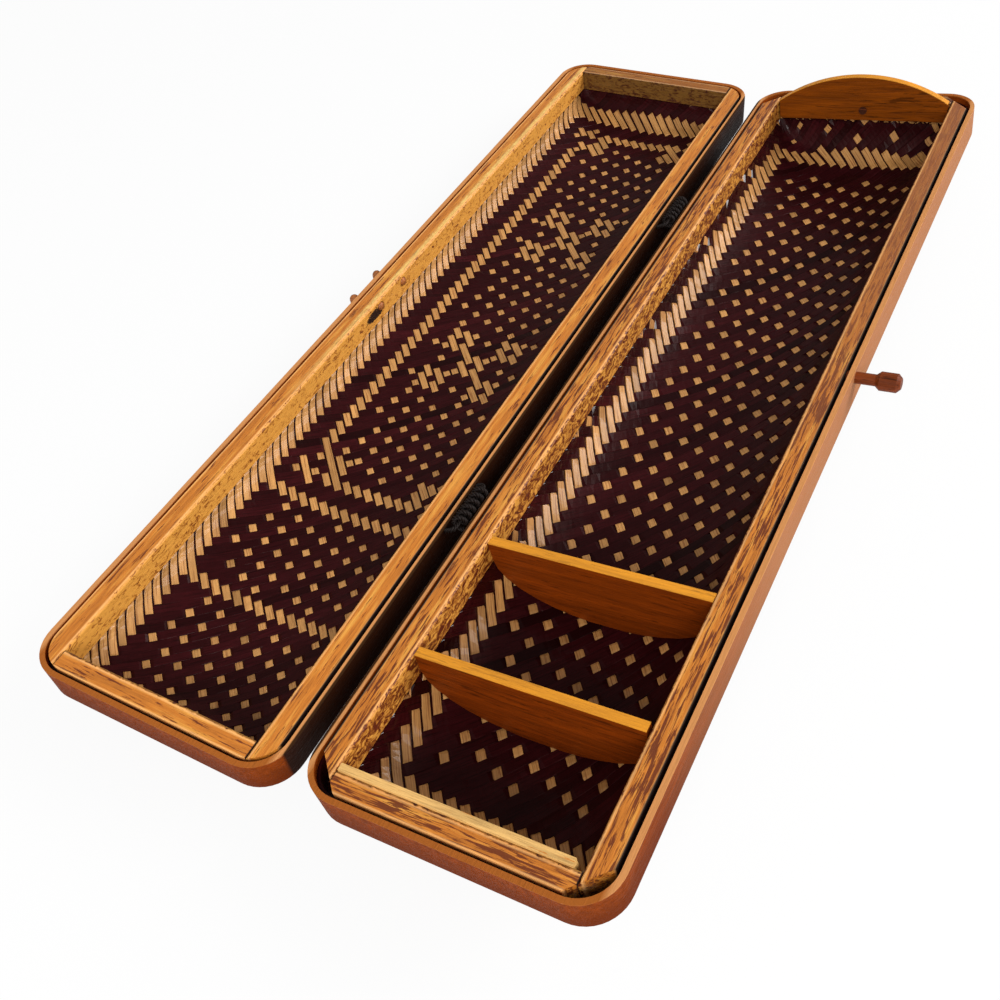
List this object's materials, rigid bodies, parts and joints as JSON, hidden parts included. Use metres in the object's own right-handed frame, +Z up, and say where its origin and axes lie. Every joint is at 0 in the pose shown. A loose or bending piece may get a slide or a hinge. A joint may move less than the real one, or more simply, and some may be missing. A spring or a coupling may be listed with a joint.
{
  "type": "pencil box",
  "caption": "Long hinged pencil box of domed, bias-woven bamboo trays with bamboo rims, cord hinges, cross dividers and a loop-and-peg clasp, lying open.",
  "frame": {"origin": "middle of the footprint of the open box, on the surface that it lies on", "axes": "+Y along the box, from the end with the small compartments to the end with the arched board; +X from the lid towards the base; +Z up"},
  "size_m": [0.1502, 0.274, 0.0297],
  "materials": {
    "bamboo_rail": "lacquered",
    "rim_band": "lacquered",
    "woven_strip": "lacquered",
    "pale_bamboo": "satin",
    "divider_wood": "satin",
    "dark_wood": "lacquered",
    "hinge_cord": "waxed",
    "rattan_strand": "lacquered"
  },
  "bodies": {
    "base": {"base_hinge_rail": "bamboo_rail", "base_clasp_rail": "bamboo_rail", "base_near_rail": "bamboo_rail", "base_far_rail": "bamboo_rail", "base_band": "rim_band", "base_skin": "woven_strip", "near_tongue": "pale_bamboo", "divider_near": "divider_wood", "divider_far": "divider_wood", "arch_board": "divider_wood", "arch_nail": "dark_wood", "clasp_peg": "dark_wood", "hinge_coil_near": "hinge_cord", "hinge_coil_far": "hinge_cord", "base_hinge_plugs": "pale_bamboo"},
    "lid": {"lid_hinge_rail": "bamboo_rail", "lid_clasp_rail": "bamboo_rail", "lid_near_rail": "bamboo_rail", "lid_far_rail": "bamboo_rail", "lid_band": "rim_band", "lid_skin": "woven_strip", "lid_hinge_loop_near": "hinge_cord", "lid_hinge_loop_far": "hinge_cord", "lid_hinge_plugs": "pale_bamboo", "closure_loop_ends": "rattan_strand"},
    "closure_loop": {"closure_loop": "rattan_strand"}
  },
  "joints": [
    {"name": "lid_hinge", "type": "hinge", "parent": "base", "child": "lid", "pos_m": [-0.00333, 0, 0.01586], "axis": [0, 1, 0], "range_deg": [0, 172.69]},
    {"name": "loop_swing", "type": "hinge", "parent": "lid", "child": "closure_loop", "pos_m": [-0.07369, 0.0025, 0.01269], "axis": [0, 1, 0], "range_deg": [-3, 179.41]}
  ]
}
